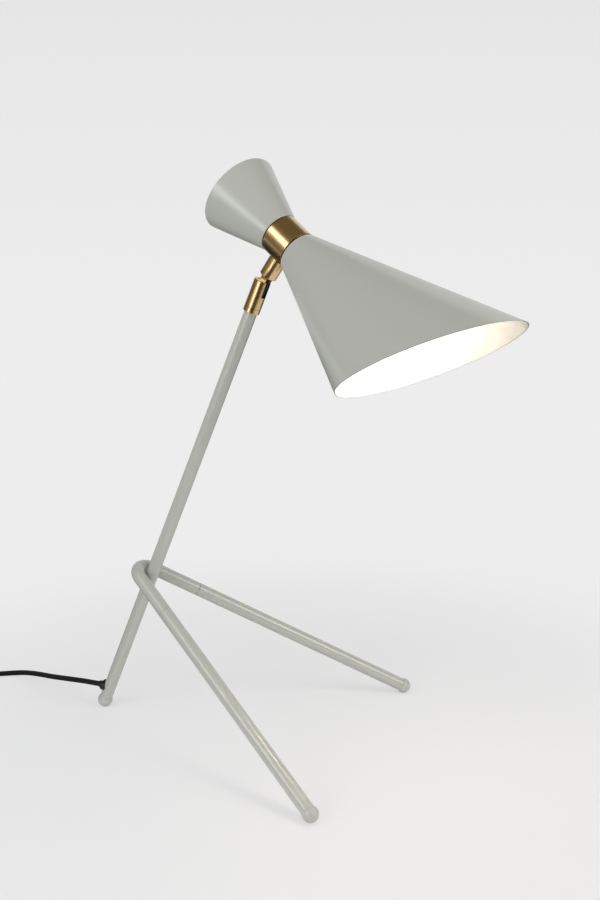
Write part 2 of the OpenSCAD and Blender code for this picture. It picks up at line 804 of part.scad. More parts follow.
switch_at = [-373, 12, 7.5];
coil_mid = [-419, -64];
tie_gap = 0.4;
coil_low = tie_band + tie_gap + cord_d / 2;
layer_step = cord_d + turn_gap;
coil_left = coil_mid.x - coil_r;
coil_near = coil_mid.y - coil_r;
plug_back = [-391, coil_near, plug_h / 2];

cord_lead_points = [
  gland_exit - [origin_x, 0, 0], gland_exit - [origin_x + cord_d, 0, 0],
  [-228, 0.8, 22.7], [-243, 3, 21.3],
  [-258, 6.6, 19.1], [-274, 12.6, 15.8], [-290, 19.8, 12.3], [-306, 26.4, 8.8],
  [-320, 30.6, 5.7], [-331, 30.8, 3.7], [-341, 27.5, 2.8], [-350, 21.8, 3.1],
  [-358, 15.7, 5.2], [-365, 12.6, 7], switch_at + [3, 0, 0], switch_at
];

cord_tail_points = [
  switch_at - [switch_len, 0, 0], switch_at - [switch_len + 3, 0, 0],
  [-441, 11, 7.1], [-448, 7.7, 6], [-454.6, 1.8, 4.6],
  [-459, -6.5, coil_low], [coil_left, -16, coil_low], [coil_left, -28, coil_low],
  [coil_left, -42, coil_low], [coil_left, coil_mid.y + cord_d, coil_low]
];

plug_lead_points = [
  [coil_mid.x + cord_d, coil_near, coil_low + layer_step],
  [coil_mid.x + cord_d + 1, coil_near, coil_low + layer_step], [-407, coil_near, 9],
  [-400, coil_near, 7.4], [plug_back.x - 3, coil_near, plug_back.z], plug_back
];

// Coil: it spirals in on the lower layer and out again on the upper one, and it climbs
// in the half turn about the place where the spiral reverses
turn_rings = 24;
inner_r = coil_r - layer_turns * layer_step;
coil_turns = 2 * layer_turns;
function coil_radius(t) = inner_r + layer_step * abs(t - layer_turns);
function coil_height(t) =
  coil_low + layer_step * min(1, max(0, 0.5 + 2 * (t - layer_turns)));
function coil_point(t) =
  let (a = 180 + 360 * t, r = coil_radius(t))
  [coil_mid.x + r * cos(a), coil_mid.y + r * sin(a), coil_height(t)];
coil_count = round(coil_turns * turn_rings);
coil_loops = [for (i = [0:coil_count]) coil_point(i / turn_rings)];
coil_points = concat(
  [coil_loops[0] + [0, cord_d, 0], coil_loops[0] + [0, 0.4, 0]],
  [for (i = [1:coil_count - 1]) coil_loops[i]],
  [coil_loops[coil_count] + [0.4, 0, 0], coil_loops[coil_count] + [cord_d, 0, 0]]
);

// Least gap between turns: points at least half a turn apart along the cord
coil_gap = min([
  for (i = [0:coil_count]) for (j = [i + turn_rings / 2:1:coil_count])
    norm(coil_loops[i] - coil_loops[j])
]) - cord_d;
echo(least_gap_in_coil = coil_gap);
coil_length = sum_steps(coil_points, 0);
function sum_steps(p, i) = i + 1 >= len(p) ? 0 : norm(p[i + 1] - p[i]) + sum_steps(p, i + 1);
echo(length_of_cord_to_switch = sum_steps(cord_lead_points, 0));
echo(length_of_cord_after_switch =
  sum_steps(cord_tail_points, 0) + coil_length + sum_steps(plug_lead_points, 0));

module cord_lead() {
  color(black) swept(cord_lead_points, cord_d, 8);
}

module cord_tail() {
  color(black) swept(cord_tail_points, cord_d, 8);
}

module cord_coil() {
  color(black) swept(coil_points, cord_d, 6);
}

module plug_lead() {
  color(black) swept(plug_lead_points, cord_d, 8);
}

// Band round the bundle, across the coil from where the cord comes in
module cord_tie() {
  band_w = 9;
  low_r = inner_r - cord_d / 2 - tie_gap;
  high_r = coil_r + cord_d / 2 + tie_gap;
  wide = high_r - low_r;
  tall = cord_d + layer_step + 2 * tie_gap;
  color(inner_black) translate([coil_mid.x, coil_mid.y, tie_band + tall / 2]) rotate([0, 0, 225])
    translate([(low_r + high_r) / 2, 0, 0]) rotate([90, 0, 0])
      translate([0, 0, -band_w / 2]) linear_extrude(band_w) difference() {
        round_rect(wide + 2 * tie_band, tall + 2 * tie_band, 3 + tie_band);
        round_rect(wide, tall, 3);
      }
}

// ---- Cord switch ----

split_z = switch_at.z;
rocker_mid = [switch_at.x - switch_len / 2, switch_at.y];
rocker_drop = 3;
rocker_axis_z = switch_h - rocker_drop;
rocker_r = rocker_len / 2 / cos(2 * rocker_tilt);
pocket_depth = 7;
rocker_pin_d = 2;
pin_hold = 2;

module switch_outline() {
  translate(rocker_mid) round_rect(switch_len, switch_w, 6);
}

module switch_base() {
  rim = 1;
  color(black) difference() {
    union() {
      translate([0, 0, rim]) linear_extrude(split_z - rim) switch_outline();
      translate(rocker_mid) linear_extrude(rim)
        round_rect(switch_len - 2 * rim, switch_w - 2 * rim, 5);
    }
    for (x = [-1, 1])
      translate([rocker_mid.x + x * (switch_len / 2 - 8), rocker_mid.y, -1]) {
        cylinder(d = 3 + 2 * seat_gap, h = split_z + 2);
        cylinder(d = 5.6 + 2 * seat_gap, h = 3);
      }
  }
}

module switch_cover() {
  rim = 1;
  color(black) difference() {
    union() {
      translate([0, 0, split_z]) linear_extrude(switch_h - rim - split_z) switch_outline();
      translate([rocker_mid.x, rocker_mid.y, switch_h - rim]) linear_extrude(rim)
        round_rect(switch_len - 2 * rim, switch_w - 2 * rim, 5);
    }
    // Pocket of the rocker
    translate([rocker_mid.x, rocker_mid.y, switch_h - pocket_depth])
      linear_extrude(pocket_depth + 1)
        square([rocker_len + 2 * move_gap, rocker_w + 2 * move_gap], center = true);
    translate([rocker_mid.x, rocker_mid.y, rocker_axis_z]) rotate([90, 0, 0])
      cylinder(d = rocker_pin_d + 2 * seat_gap, h = rocker_w + 2 * move_gap + 2 * pin_hold, center = true);
    for (x = [-1, 1])
      translate([rocker_mid.x + x * (switch_len / 2 - 8), rocker_mid.y, split_z - 1])
        cylinder(d = 3 + 2 * seat_gap, h = 5);
  }
}

module switch_screws() {
  color(steel)
    for (x = [-1, 1])
      translate([rocker_mid.x + x * (switch_len / 2 - 8), rocker_mid.y, 0.4]) difference() {
        union() {
          cylinder(d = 5.6, h = 1.6);
          cylinder(d = 3, h = split_z + 3.4);
        }
        for (turn = [0, 90])
          rotate([0, 0, turn]) translate([-1.6, -0.4, -1]) cube([3.2, 0.8, 1.8]);
      }
}

module rocker_pin() {
  color(steel) translate([rocker_mid.x, rocker_mid.y, rocker_axis_z]) rotate([90, 0, 0])
    cylinder(d = rocker_pin_d, h = rocker_w + 2 * move_gap + 2 * pin_hold - 0.2, center = true);
}

// The rocker's two pads meet at a shallow angle, and it rests on its on side
module rocker() {
  low = 3.2;
  rise = 2.6;
  lip = rise + 1.6;
  lip_x = (rocker_len / 2 - lip * sin(rocker_tilt)) / cos(rocker_tilt);
  color(inner_black) translate([rocker_mid.x, rocker_mid.y, rocker_axis_z])
    rotate([0, rocker_tilt, 0]) rotate([90, 0, 0])
      translate([0, 0, -rocker_w / 2]) linear_extrude(rocker_w) difference() {
        polygon([
          [-rocker_len / 2 + 1, -low + 1.2],
          [-3, -low],
          [3, -low],
          [rocker_len / 2 - 1, -low + 1.2],
          [lip_x, lip],
          [0, rise],
          [-lip_x, lip]
        ]);
        circle(d = rocker_pin_d + 2 * run_gap);
      }
}

// ---- Plug ----

pin_root = 8;
pin_root_d = pin_d - 1;
plug_face = plug_back + [plug_len, 0, 0];

// Flat body that narrows from its face to the cord, with a waist for the fingers
module plug_body() {
  neck_w = 12;
  neck_h = 10;
  waist_w = 22;
  color(black) translate(plug_back) rotate([0, 90, 0]) difference() {
    union() {
      hull() {
        linear_extrude(1) round_rect(neck_h, neck_w, 4);
        translate([0, 0, plug_len * 0.5]) linear_extrude(1) round_rect(plug_h - 1, waist_w, 5);
      }
      hull() {
        translate([0, 0, plug_len * 0.5]) linear_extrude(1) round_rect(plug_h - 1, waist_w, 5);
        translate([0, 0, plug_len - 8]) linear_extrude(8) round_rect(plug_h, plug_w, 5);
      }
    }
    for (y = [-1, 1])
      translate([0, y * pin_pitch / 2, plug_len - pin_root - 0.2])
        cylinder(d = pin_root_d + 2 * seat_gap, h = pin_root + 1);
  }
}

module plug_pins() {
  tip = 1.2;
  color(steel) translate(plug_face)
    for (y = [-1, 1])
      translate([0, y * pin_pitch / 2, 0]) about_x() {
        translate([0, 0, -pin_root]) cylinder(d = pin_root_d, h = pin_root + 1);
        cylinder(d = pin_d, h = pin_len - tip);
        translate([0, 0, pin_len - tip]) cylinder(d1 = pin_d, d2 = pin_d - 2 * tip, h = tip);
      }
}

stem_tube();
rear_foot();
left_foot();
right_foot();
bend_tube();
left_leg_tube();
right_leg_tube();
leg_studs();
bend_screw();
saddle_washer();
bend_plug();
bend_spacer();
stem_insert();
cord_gland();
stem_lead();
knuckle_base();
knuckle_fork();
pivot_screw();
pivot_washers();
swivel_screw();
fork_lead();
knuckle_stub();
stub_nut();
collar();
front_ring();
rear_ring();
front_cone();
rear_cone();
tie_tube();
front_nut();
rear_nut();
holder_cap();
holder_body();
holder_thread();
holder_contact();
bulb_base();
bulb_globe();
head_lead();
cord_lead();
switch_base();
switch_cover();
switch_screws();
rocker_pin();
rocker();
cord_tail();
cord_coil();
cord_tie();
plug_lead();
plug_body();
plug_pins();
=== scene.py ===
"""Looks of a tripod table lamp: a leaning stem, a bent two-legged tube on ball feet, a brass
knuckle, and a double-cone shade round a glowing bulb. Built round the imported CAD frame."""

import json
from math import atan2, cos, pi, radians, sin, sqrt, tan, tau

import bmesh
import bpy
from mathutils import Matrix, Vector


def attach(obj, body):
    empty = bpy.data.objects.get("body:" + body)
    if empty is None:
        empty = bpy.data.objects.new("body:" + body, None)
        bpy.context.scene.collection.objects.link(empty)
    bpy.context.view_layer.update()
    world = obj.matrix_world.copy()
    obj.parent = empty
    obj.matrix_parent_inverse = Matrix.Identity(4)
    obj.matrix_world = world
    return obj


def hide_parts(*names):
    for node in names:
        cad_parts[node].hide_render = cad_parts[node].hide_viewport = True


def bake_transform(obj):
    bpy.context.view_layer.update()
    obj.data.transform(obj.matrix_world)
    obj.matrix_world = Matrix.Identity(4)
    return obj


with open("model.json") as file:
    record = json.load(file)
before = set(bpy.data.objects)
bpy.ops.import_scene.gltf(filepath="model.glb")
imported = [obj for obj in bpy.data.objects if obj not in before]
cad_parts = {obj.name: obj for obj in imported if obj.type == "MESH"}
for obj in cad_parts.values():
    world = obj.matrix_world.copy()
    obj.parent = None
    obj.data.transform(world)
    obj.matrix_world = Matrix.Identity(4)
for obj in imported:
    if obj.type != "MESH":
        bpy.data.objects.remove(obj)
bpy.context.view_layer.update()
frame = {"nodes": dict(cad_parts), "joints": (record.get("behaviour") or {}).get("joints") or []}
scene = bpy.context.scene
scene.view_settings.view_transform = "Standard"

# ---- Camera, at the photograph's viewing angle ----

camera_data = bpy.data.cameras.new("camera")
camera_data.sensor_fit = "VERTICAL"
camera_data.sensor_width = 36
camera_data.sensor_height = 36
camera_data.lens = 50
HALF_PIXEL = 0.5 / 900
camera_data.shift_x = -HALF_PIXEL
camera_data.shift_y = HALF_PIXEL
camera = bpy.data.objects.new("camera", camera_data)
camera.location = (0.3883, -1.0162, 0.5385)
camera.rotation_euler = (radians(76.65), 0, radians(20.73))
scene.collection.objects.link(camera)
scene.camera = camera

# ---- Sizes in millimetres, the same as the CAD model's ----

STEM_D = 12
STEM_BORE = 10
STEM_REACH = 427.8
FOOT_R = 7.3
SPIGOT = 9
REAR_SPIGOT = 5.64

LEG_D = 12.7
LEG_BORE = 10.3
CROSS_AT = 147.2
LEG_SLOPE = radians(32.5)
LEG_SPREAD = radians(25.4)
BEND_R = 16.5
BEND_GAP = 1.5
BEND_TAIL = 47
JOINT_EDGE = 0.15
JOINT_GAP = 0.3
TUBE_EDGE = 0.2
TUBE_SIDES = 64

BASE_H = 4.4
PIVOT_RISE = 16.3
TILT = radians(13)
STUB_REACH = 51.2

COLLAR_D = 37.4
COLLAR_WALL = 1.5
COLLAR_LEN = 26
RING_T = 0.6
SHEET = 0.9
FRONT_ANGLE = radians(18.9)
MOUTH_AT = 166.8
MOUTH_SLANT = radians(28.8)
REAR_ANGLE = radians(18)
REAR_D = 75
FRONT_UNCUT = 215
CONE_FOOT_EDGE = 0.7
CONE_RIM_EDGE = 0.35
MOUTH_EDGE = 0.3
MOUTH_HOLD = 0.8
COLLAR_SEAM = 0.5

TIE_D = 10
NUT_T = 3
CAP_LEN = 19
HOLDER_LEN = 28
HOLDER_D = 39
THREAD_D = 26.8
SCREW_CAP_D = 26.2
THREAD_PITCH = 3.1
THREAD_LEN = 23
GLOBE_D = 55
BULB_LEN = 98

CORD_D = 5.2
LEAD_D = 3.2
SEAT_GAP = 0.05

# ---- Places: each matrix takes millimetres in a piece's own frame to metres in the lamp's ----

joints = {joint["name"]: joint for joint in frame["joints"]}
pivot = Vector(joints["knuckle_tilt"]["pos_m"])
stem_line = Vector(joints["knuckle_swivel"]["axis"]).normalized()
tilt_line = Vector(joints["knuckle_tilt"]["axis"]).normalized()
STEM_LEAN = atan2(stem_line.x, stem_line.z)
PIVOT_AT = STEM_REACH + BASE_H + PIVOT_RISE
metres = Matrix.Scale(0.001, 4)


def shift(x=0, y=0, z=0):
    return Matrix.Translation((x, y, z))


def turn(angle, axis):
    return Matrix.Rotation(angle, 4, axis)


ALONG_X = turn(radians(90), "Y")
ALONG_BACK = turn(radians(-90), "Y")

foot_mid = pivot * 1000 - stem_line * PIVOT_AT
stem_place = metres @ Matrix.Translation(foot_mid) @ turn(STEM_LEAN, "Y")

fork_place = Matrix.Translation(pivot) @ Matrix(
    (tilt_line.cross(stem_line), tilt_line, stem_line)
).transposed().to_4x4() @ metres
stub_place = fork_place @ turn(TILT, "Y")
shade_place = stub_place @ shift(z=STUB_REACH)

slant_half = STEM_D / 2 / cos(LEG_SLOPE - STEM_LEAN)
apex_to_bend = BEND_R / sin(LEG_SPREAD) - BEND_R
apex_back = slant_half + BEND_GAP + LEG_D / 2 + apex_to_bend
apex = foot_mid + stem_line * CROSS_AT - turn(LEG_SLOPE, "Y") @ Vector((apex_back, 0, 0))
bend_place = metres @ Matrix.Translation(apex) @ turn(LEG_SLOPE, "Y")
bend_start = BEND_R / tan(LEG_SPREAD)
joint_at = bend_start + BEND_TAIL
leg_len = (apex.z - FOOT_R) / (sin(LEG_SLOPE) * cos(LEG_SPREAD))


def leg_place(side, along):
    """Place at a distance down one leg from the apex, Z down the leg."""
    return bend_place @ turn(side * LEG_SPREAD, "Z") @ ALONG_X @ shift(z=along)


def seat_of(tube_d):
    """Height above a ball foot's middle at which a tube sits on it."""
    return sqrt(FOOT_R ** 2 - tube_d ** 2 / 4)


# ---- Mains cord: the route repeats the CAD model's points, in metres ----

SWITCH_AT = Vector((-0.373, 0.012, 0.0075))
COIL_MID = Vector((-0.419, -0.064))
COIL_R = 0.0414
COIL_LOW = 0.0038
LAYER_STEP = 0.0057
LAYER_TURNS = 3.625
TURN_STEPS = 24
ROUTE_STEP = 0.0026
LEAD_STEP = 0.0006
RELIEF_STEP = 0.0004
PLUG_BACK = Vector((-0.391, -0.1054, 0.00685))

gland_exit = stem_place @ Vector((-7.2, 0, 14)) - Vector((0.004, 0, 0))
cord_d = CORD_D / 1000


def coil_point(turns):
    """Point of the coil: it spirals in below, climbs, and spirals out again above."""
    radius = COIL_R - LAYER_STEP * (LAYER_TURNS - abs(turns - LAYER_TURNS))
    climb = min(1, max(0, 0.5 + 2 * (turns - LAYER_TURNS)))
    angle = pi + tau * turns
    return Vector((
        COIL_MID.x + radius * cos(angle),
        COIL_MID.y + radius * sin(angle),
        COIL_LOW + LAYER_STEP * climb,
    ))


def cord_route():
    """Points from inside the gland to the plug, through the switch and the coil."""
    coil_left = COIL_MID.x - COIL_R
    coil_near = COIL_MID.y - COIL_R
    to_switch = [
        (-0.228, 0.0008, 0.0227), (-0.243, 0.003, 0.0213), (-0.258, 0.0066, 0.0191),
        (-0.274, 0.0126, 0.0158), (-0.290, 0.0198, 0.0123), (-0.306, 0.0264, 0.0088),
        (-0.320, 0.0306, 0.0057), (-0.331, 0.0308, 0.0037), (-0.341, 0.0275, 0.0028),
        (-0.350, 0.0218, 0.0031), (-0.358, 0.0157, 0.0052), (-0.365, 0.0126, 0.0070),
    ]
    through = [SWITCH_AT - Vector((step, 0, 0)) for step in (-0.001, 0.020, 0.040, 0.062)]
    to_coil = [
        (-0.441, 0.0110, 0.0071), (-0.448, 0.0077, 0.0060), (-0.4546, 0.0018, 0.0046),
        (-0.459, -0.0065, COIL_LOW), (coil_left, -0.016, COIL_LOW),
        (coil_left, -0.028, COIL_LOW), (coil_left, -0.042, COIL_LOW),
        (coil_left, -0.053, COIL_LOW),
    ]
    count = round(2 * LAYER_TURNS * TURN_STEPS)
    coil = [coil_point(step / TURN_STEPS) for step in range(count + 1)]
    to_plug = [
        (-0.4138, coil_near, COIL_LOW + LAYER_STEP), (-0.407, coil_near, 0.009),
        (-0.400, coil_near, 0.0074), (-0.394, coil_near, PLUG_BACK.z), PLUG_BACK,
    ]
    start = [gland_exit + Vector((0.001, 0, 0)), gland_exit - Vector((cord_d, 0, 0))]
    return [Vector(p) for p in start + to_switch + through + to_coil + coil + to_plug]


def even_path(points, step):
    """Smooth curve through points, sampled at an even step."""
    smooth = []
    for i in range(len(points) - 1):
        before, a, b = points[max(i - 1, 0)], points[i], points[i + 1]
        after = points[min(i + 2, len(points) - 1)]
        for j in range(8):
            t = j / 8
            smooth.append(
                0.5 * (2 * a + (b - before) * t
                       + (2 * before - 5 * a + 4 * b - after) * t ** 2
                       + (3 * a - before - 3 * b + after) * t ** 3)
            )
    smooth.append(points[-1])
    lengths = [0.0]
    for a, b in zip(smooth, smooth[1:]):
        lengths.append(lengths[-1] + (b - a).length)
    count = round(lengths[-1] / step)
    even, at = [], 0
    for i in range(count + 1):
        goal = lengths[-1] * i / count
        while at < len(lengths) - 2 and lengths[at + 1] < goal:
            at += 1
        share = (goal - lengths[at]) / (lengths[at + 1] - lengths[at])
        even.append(smooth[at].lerp(smooth[at + 1], share))
    return even, lengths[-1]


# ---- Modelling ----

def new_piece(name, form, sharp=40):
    """Object at the origin from a bmesh in metres, shaded smooth but for its sharp edges."""
    mesh = bpy.data.meshes.new(name)
    form.to_mesh(mesh)
    form.free()
    mesh.shade_smooth()
    mesh.set_sharp_from_angle(angle=radians(sharp))
    piece = bpy.data.objects.new(name, mesh)
    scene.collection.objects.link(piece)
    return piece


def verts_in(geom):
    return [part for part in geom if isinstance(part, bmesh.types.BMVert)]


def edges_in(geom):
    return [part for part in geom if isinstance(part, bmesh.types.BMEdge)]


def cut_by(form, point, outward, keep_outer=False):
    """Cut a form by a plane, drop what lies outward of it, and return the cut's edges."""
    cut = bmesh.ops.bisect_plane(
        form, geom=form.verts[:] + form.edges[:] + form.faces[:],
        plane_co=point, plane_no=outward, clear_outer=not keep_outer,
    )
    return edges_in(cut["geom_cut"])


def grow_rim(form, edges):
    """Extrude a loop of edges: (its new corners, its new edges and those along the walls)."""
    grown = bmesh.ops.extrude_edge_only(form, edges=edges)["geom"]
    return verts_in(grown), edges_in(grown)


def round_corners(form, corners, size):
    """Round the corners of an outline before it is spun."""
    bmesh.ops.bevel(
        form, geom=corners, offset=size, offset_type="OFFSET", segments=4, profile=0.5,
        affect="VERTICES", material=-1,
    )


def round_edges(form, edges, size):
    bmesh.ops.bevel(
        form, geom=edges, offset=size, offset_type="OFFSET", segments=3, profile=0.5,
        affect="EDGES", material=-1,
    )


def spin_closed(form, steps):
    """Spin an outline in XZ into a closed ring about Z."""
    bmesh.ops.spin(
        form, geom=form.verts[:] + form.edges[:], cent=(0, 0, 0), axis=(0, 0, 1),
        angle=tau, steps=steps, use_merge=True, use_duplicate=False,
    )
    bmesh.ops.remove_doubles(form, verts=form.verts, dist=1e-4)


def hold_ends(form, near=0.2):
    """A corner near both ends of each long edge, so that its face shades as straight."""
    for edge in form.edges[:]:
        length = edge.calc_length()
        if length > 6 * near:
            start, end = edge.verts
            bmesh.utils.edge_split(edge, start, near / length)
            bmesh.utils.edge_split(edge, end, near / (length - near))


def lathe(name, outline, place, steps=96):
    """Turned piece: a closed half outline of (radius, height, rounding), spun about Z."""
    form = bmesh.new()
    corners = [form.verts.new((radius, 0, height)) for radius, height, rounding in outline]
    for a, b in zip(corners, corners[1:] + corners[:1]):
        form.edges.new((a, b))
    for rounding in sorted({row[2] for row in outline if row[2] > 0}):
        rounded = [v for v, row in zip(corners, outline) if row[2] == rounding]
        round_corners(form, rounded, rounding)
    hold_ends(form)
    spin_closed(form, steps)
    bmesh.ops.recalc_face_normals(form, faces=form.faces)
    form.transform(place)
    return new_piece(name, form)


def ball_foot(name, tube_d, bore, spigot, place):
    """Ball cut flat where its tube sits, with a spigot up the tube."""
    seat = seat_of(tube_d)
    form = bmesh.new()
    bmesh.ops.create_uvsphere(form, u_segments=64, v_segments=32, radius=FOOT_R)
    rim = cut_by(form, (0, 0, seat), (0, 0, 1))
    top = bmesh.ops.contextual_create(form, geom=rim)["faces"]
    bmesh.ops.inset_region(form, faces=top, thickness=(tube_d - bore) / 2 + SEAT_GAP)
    raised = bmesh.ops.extrude_face_region(form, geom=top)["geom"]
    bmesh.ops.translate(form, verts=verts_in(raised), vec=(0, 0, spigot))
    bmesh.ops.delete(form, geom=[f for f in top if f.is_valid], context="FACES")
    bmesh.ops.recalc_face_normals(form, faces=form.faces)
    form.transform(place)
    return new_piece(name, form)


def bent_tube(name):
    """Hairpin: a ring drawn down one tail, round the bend and out along the other."""
    form = bmesh.new()
    made = bmesh.ops.create_circle(form, segments=TUBE_SIDES, radius=LEG_D / 2)
    out = {side: turn(side * LEG_SPREAD, "Z") @ Vector((1, 0, 0)) for side in (1, -1)}
    start = turn(LEG_SPREAD, "Z") @ ALONG_X @ shift(z=joint_at)
    bmesh.ops.transform(form, matrix=start, verts=made["verts"])

    def draw(edges, vec):
        verts, grown = grow_rim(form, edges)
        bmesh.ops.translate(form, verts=verts, vec=vec)
        return grown

    first = form.edges[:]
    edges = draw(draw(first, -out[1]), (1 - BEND_TAIL) * out[1])
    ends = list(dict.fromkeys(corner for edge in edges for corner in edge.verts))
    spun = bmesh.ops.spin(
        form, geom=ends + edges, cent=(BEND_R / sin(LEG_SPREAD), 0, 0), axis=(0, 0, 1),
        angle=pi - 2 * LEG_SPREAD, steps=40, use_duplicate=False,
    )
    edges = edges_in(spun["geom_last"])
    last = draw(draw(edges, (BEND_TAIL - 1) * out[-1]), out[-1])
    bmesh.ops.holes_fill(form, edges=form.edges, sides=0)
    round_edges(form, first + last, JOINT_EDGE)
    bmesh.ops.recalc_face_normals(form, faces=form.faces)
    form.transform(bend_place)
    return new_piece(name, form)


def cone(name, floor_at, radius, angle, length, place, mouth=None):
    """Spun shade with a floor, paint outside and white inside, cut at its mouth if it slants."""
    wide = radius + length * tan(angle)
    skin = SHEET / cos(angle)
    hole = TIE_D / 2 + SEAT_GAP
    form = bmesh.new()
    outline = [
        (hole, 0), (radius, 0), (wide, length), (wide - skin, length),
        (radius - skin + SHEET * tan(angle), SHEET), (hole, SHEET),
    ]
    corners = [form.verts.new((across, 0, up)) for across, up in outline]
    edges = [form.edges.new(pair) for pair in zip(corners, corners[1:] + corners[:1])]
    round_corners(form, [corners[1]], CONE_FOOT_EDGE)
    if not mouth:
        for corner in (corners[2], corners[3]):
            round_corners(form, [corner], CONE_RIM_EDGE)
    hold_ends(form)
    spin_closed(form, steps=160)
    if mouth:
        at, slant = mouth
        outward = (sin(slant), 0, cos(slant))
        cut_by(form, (0, 0, at - floor_at - MOUTH_HOLD), outward, keep_outer=True)
        cut_by(form, (0, 0, at - floor_at), outward)
        rim = [e for e in form.edges if e.is_boundary]
        bmesh.ops.bridge_loops(form, edges=rim)
        round_edges(form, rim, MOUTH_EDGE)
    bmesh.ops.recalc_face_normals(form, faces=form.faces)
    for face in form.faces:
        middle = face.calc_center_median()
        outer = radius + middle.z * tan(angle)
        inside = Vector((middle.x, middle.y)).length < outer - 0.75 * skin
        face.material_index = 1 if inside and middle.z > SHEET / 2 else 0
    form.transform(place)
    return new_piece(name, form)


def dressed(node, edge=0.0, sharp=35):
    """Copy of a CAD node with its triangles merged into faces and its edges broken."""
    form = bmesh.new()
    form.from_mesh(frame["nodes"][node].data)
    bmesh.ops.remove_doubles(form, verts=form.verts, dist=2e-6)
    bmesh.ops.dissolve_limit(
        form, angle_limit=radians(1), verts=form.verts, edges=form.edges
    )
    piece = new_piece(node + "_look", form, sharp)
    if edge:
        bevel = piece.modifiers.new("broken_edges", "BEVEL")
        bevel.width = edge / 1000
        bevel.segments = 2
        bevel.limit_method = "ANGLE"
        bevel.angle_limit = radians(sharp)
        bevel.use_clamp_overlap = True
        bevel.harden_normals = True
    return piece


def tube_along(name, points, diameter, sides=12, swell=None):
    """Round tube along points, with UV u along its length and v round it."""
    curve = bpy.data.curves.new(name, "CURVE")
    curve.dimensions = "3D"
    curve.bevel_depth = diameter / 2
    curve.bevel_resolution = (sides - 4) // 2
    curve.use_fill_caps = True
    spline = curve.splines.new("POLY")
    spline.points.add(len(points) - 1)
    for index, (point, co) in enumerate(zip(spline.points, points)):
        point.co = (*co, 1)
        if swell:
            point.radius = swell(index / (len(points) - 1))
    holder = bpy.data.objects.new(name, curve)
    mesh = bpy.data.meshes.new_from_object(holder)
    bpy.data.objects.remove(holder)
    mesh.name = name
    mesh.shade_smooth()
    mesh.set_sharp_from_angle(angle=radians(50))
    piece = bpy.data.objects.new(name, mesh)
    scene.collection.objects.link(piece)
    return piece


# ---- Materials ----

# How often brushed lines break up along their length, per metre
LINE_BREAKS = 90.0


def put(tree, kind, inputs=None, **settings):
    """Add a node with its settings, and set or link its inputs."""
    made = tree.nodes.new(kind)
    for key, value in settings.items():
        setattr(made, key, value)
    for key, value in (inputs or {}).items():
        if isinstance(value, bpy.types.NodeSocket):
            tree.links.new(value, made.inputs[key])
        else:
            made.inputs[key].default_value = value
    return made


def maths(tree, operation, a, b=0.0, **settings):
    return put(tree, "ShaderNodeMath", {0: a, 1: b}, operation=operation, **settings).outputs[0]


def effect(name, inputs, outputs):
    """Empty shader group with named sockets: (tree, its inputs, its output node)."""
    tree = bpy.data.node_groups.new(name, "ShaderNodeTree")
    for label, kind, value in inputs:
        socket = tree.interface.new_socket(name=label, in_out="INPUT", socket_type=kind)
        if value is not None:
            socket.default_value = value
    for label in outputs:
        tree.interface.new_socket(name=label, in_out="OUTPUT", socket_type="NodeSocketFloat")
    return tree, tree.nodes.new("NodeGroupInput").outputs, tree.nodes.new("NodeGroupOutput")


def build_sprayed():
    """Fine orange peel of sprayed or moulded surfaces, with slow clouding."""
    tree, given, out = effect(
        "sprayed",
        [("Grain", "NodeSocketFloat", 1400.0), ("Clouds", "NodeSocketFloat", 18.0)],
        ["Mask", "Height"],
    )
    place = put(tree, "ShaderNodeTexCoord").outputs["Object"]
    clouds = put(tree, "ShaderNodeTexNoise", {
        "Vector": place, "Scale": given["Clouds"], "Detail": 3.0, "Roughness": 0.55,
    })
    peel = put(tree, "ShaderNodeTexNoise", {
        "Vector": place, "Scale": given["Grain"], "Detail": 2.0, "Roughness": 0.5,
    })
    tree.links.new(clouds.outputs["Fac"], out.inputs["Mask"])
    tree.links.new(peel.outputs["Fac"], out.inputs["Height"])
    return tree


def build_brushed():
    """Fine lines turned round a piece's own Z, broken up along their length."""
    tree, given, out = effect(
        "brushed",
        [("Vector", "NodeSocketVector", None), ("Lines", "NodeSocketFloat", 9000.0)],
        ["Mask", "Height"],
    )
    parts = put(tree, "ShaderNodeSeparateXYZ", {"Vector": given["Vector"]})
    spread = put(tree, "ShaderNodeCombineXYZ", {
        "X": maths(tree, "MULTIPLY", parts.outputs["X"], LINE_BREAKS),
        "Y": maths(tree, "MULTIPLY", parts.outputs["Y"], LINE_BREAKS),
        "Z": maths(tree, "MULTIPLY", parts.outputs["Z"], given["Lines"]),
    })
    lines = put(tree, "ShaderNodeTexNoise", {
        "Vector": spread.outputs[0], "Scale": 1.0, "Detail": 3.0, "Roughness": 0.6,
    })
    broad = put(tree, "ShaderNodeTexNoise", {
        "Vector": given["Vector"], "Scale": 140.0, "Detail": 2.0,
    })
    mask = maths(tree, "MULTIPLY", lines.outputs["Fac"], broad.outputs["Fac"])
    gain = maths(tree, "MULTIPLY", mask, 2.2, use_clamp=True)
    tree.links.new(gain, out.inputs["Mask"])
    tree.links.new(lines.outputs["Fac"], out.inputs["Height"])
    return tree


